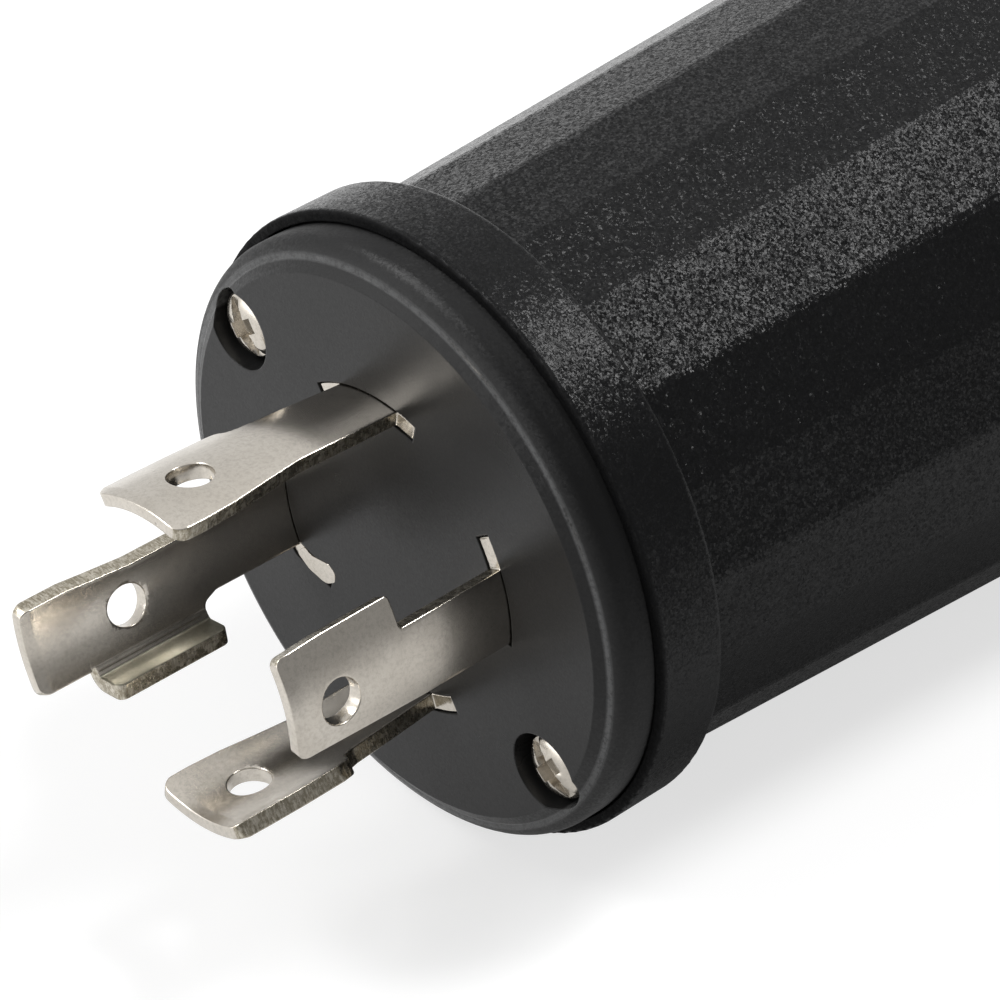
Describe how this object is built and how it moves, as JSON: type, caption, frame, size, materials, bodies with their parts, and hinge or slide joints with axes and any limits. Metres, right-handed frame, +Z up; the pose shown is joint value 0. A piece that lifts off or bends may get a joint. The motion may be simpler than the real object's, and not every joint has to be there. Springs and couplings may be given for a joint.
{
  "type": "locking plug",
  "caption": "Rewireable locking power plug for a shore power cord: hooked curved blades on a round mating face, a faceted grip, inner screw terminals and a rear cord clamp.",
  "frame": {"origin": "centre of the flat mating face that the blades stand on", "axes": "+Y along the plug from the mating face towards the cord end, so the blades point to -Y; +Z up as the plug lies on its side, with a flat of the grip facing straight down"},
  "size_m": [0.0598, 0.123, 0.0598],
  "materials": {
    "housing_black": "spark-eroded grain",
    "insert_black": "satin",
    "blade_nickel": "satin nickel plate",
    "screw_nickel": "bright nickel plate",
    "insert_brass": "turned",
    "terminal_brass": "bright",
    "terminal_silver": "bright",
    "terminal_green": "dyed",
    "plate_steel": "zinc plate",
    "barrier_dark": "satin",
    "grommet_rubber": "matte"
  },
  "bodies": {
    "plug_body": {"housing": "housing_black", "front_insert": "insert_black", "blade_neutral": "blade_nickel", "blade_hot_x": "blade_nickel", "blade_hot_y": "blade_nickel", "blade_ground": "blade_nickel", "terminal_barrier": "barrier_dark", "barrier_screw": "screw_nickel", "assembly_screw_upper": "screw_nickel", "assembly_screw_lower": "screw_nickel", "assembly_nut_upper": "insert_brass", "assembly_nut_lower": "insert_brass", "cord_grommet": "grommet_rubber", "clamp_nut_left": "insert_brass", "clamp_nut_right": "insert_brass"},
    "clamp_strap": {"clamp_strap": "housing_black"},
    "clamp_screw_left": {"clamp_screw_left": "screw_nickel"},
    "clamp_screw_right": {"clamp_screw_right": "screw_nickel"},
    "terminal_screw_neutral": {"terminal_screw_neutral": "terminal_silver"},
    "pressure_plate_neutral": {"pressure_plate_neutral": "plate_steel"},
    "terminal_screw_hot_x": {"terminal_screw_hot_x": "terminal_brass"},
    "pressure_plate_hot_x": {"pressure_plate_hot_x": "plate_steel"},
    "terminal_screw_ground": {"terminal_screw_ground": "terminal_green"},
    "pressure_plate_ground": {"pressure_plate_ground": "plate_steel"},
    "terminal_screw_hot_y": {"terminal_screw_hot_y": "terminal_brass"},
    "pressure_plate_hot_y": {"pressure_plate_hot_y": "plate_steel"}
  },
  "joints": [
    {"name": "clamp_strap_slide", "type": "slide", "parent": "plug_body", "child": "clamp_strap", "axis": [0, 0, -1], "range_m": [0, 0.0042]},
    {"name": "clamp_screw_left_turn", "type": "hinge", "parent": "clamp_strap", "child": "clamp_screw_left", "pos_m": [-0.0185, 0.088, 0.008], "axis": [0, 0, -1], "range_deg": [0, 2160]},
    {"name": "clamp_screw_right_turn", "type": "hinge", "parent": "clamp_strap", "child": "clamp_screw_right", "pos_m": [0.0185, 0.088, 0.008], "axis": [0, 0, -1], "range_deg": [0, 2160]},
    {"name": "terminal_screw_neutral_turn", "type": "hinge", "parent": "plug_body", "child": "terminal_screw_neutral", "pos_m": [0.01539, 0.025, 0.00182], "axis": [-0.9931, 0, -0.1175], "range_deg": [0, 1440]},
    {"name": "pressure_plate_neutral_slide", "type": "slide", "parent": "plug_body", "child": "pressure_plate_neutral", "axis": [0.9931, 0, 0.1175], "range_m": [0, 0.0028]},
    {"name": "terminal_screw_hot_x_turn", "type": "hinge", "parent": "plug_body", "child": "terminal_screw_hot_x", "pos_m": [-0.00155, 0.025, 0.01542], "axis": [0.1002, 0, -0.995], "range_deg": [0, 1440]},
    {"name": "pressure_plate_hot_x_slide", "type": "slide", "parent": "plug_body", "child": "pressure_plate_hot_x", "axis": [-0.1002, 0, 0.995], "range_m": [0, 0.0028]},
    {"name": "terminal_screw_ground_turn", "type": "hinge", "parent": "plug_body", "child": "terminal_screw_ground", "pos_m": [-0.01515, 0.025, -0.00329], "axis": [0.9772, 0, 0.2122], "range_deg": [0, 1440]},
    {"name": "pressure_plate_ground_slide", "type": "slide", "parent": "plug_body", "child": "pressure_plate_ground", "axis": [-0.9772, 0, -0.2122], "range_m": [0, 0.0028]},
    {"name": "terminal_screw_hot_y_turn", "type": "hinge", "parent": "plug_body", "child": "terminal_screw_hot_y", "pos_m": [0.00115, 0.025, -0.01546], "axis": [-0.0741, 0, 0.9973], "range_deg": [0, 1440]},
    {"name": "pressure_plate_hot_y_slide", "type": "slide", "parent": "plug_body", "child": "pressure_plate_hot_y", "axis": [0.0741, 0, -0.9973], "range_m": [0, 0.0028]}
  ],
  "couplings": [
    {"joint": "clamp_screw_left_turn", "follows": "clamp_strap_slide", "rad_per_m": 8976},
    {"joint": "clamp_screw_right_turn", "follows": "clamp_strap_slide", "rad_per_m": 8976},
    {"joint": "terminal_screw_neutral_turn", "follows": "pressure_plate_neutral_slide", "rad_per_m": 8976},
    {"joint": "terminal_screw_hot_x_turn", "follows": "pressure_plate_hot_x_slide", "rad_per_m": 8976},
    {"joint": "terminal_screw_ground_turn", "follows": "pressure_plate_ground_slide", "rad_per_m": 8976},
    {"joint": "terminal_screw_hot_y_turn", "follows": "pressure_plate_hot_y_slide", "rad_per_m": 8976}
  ]
}
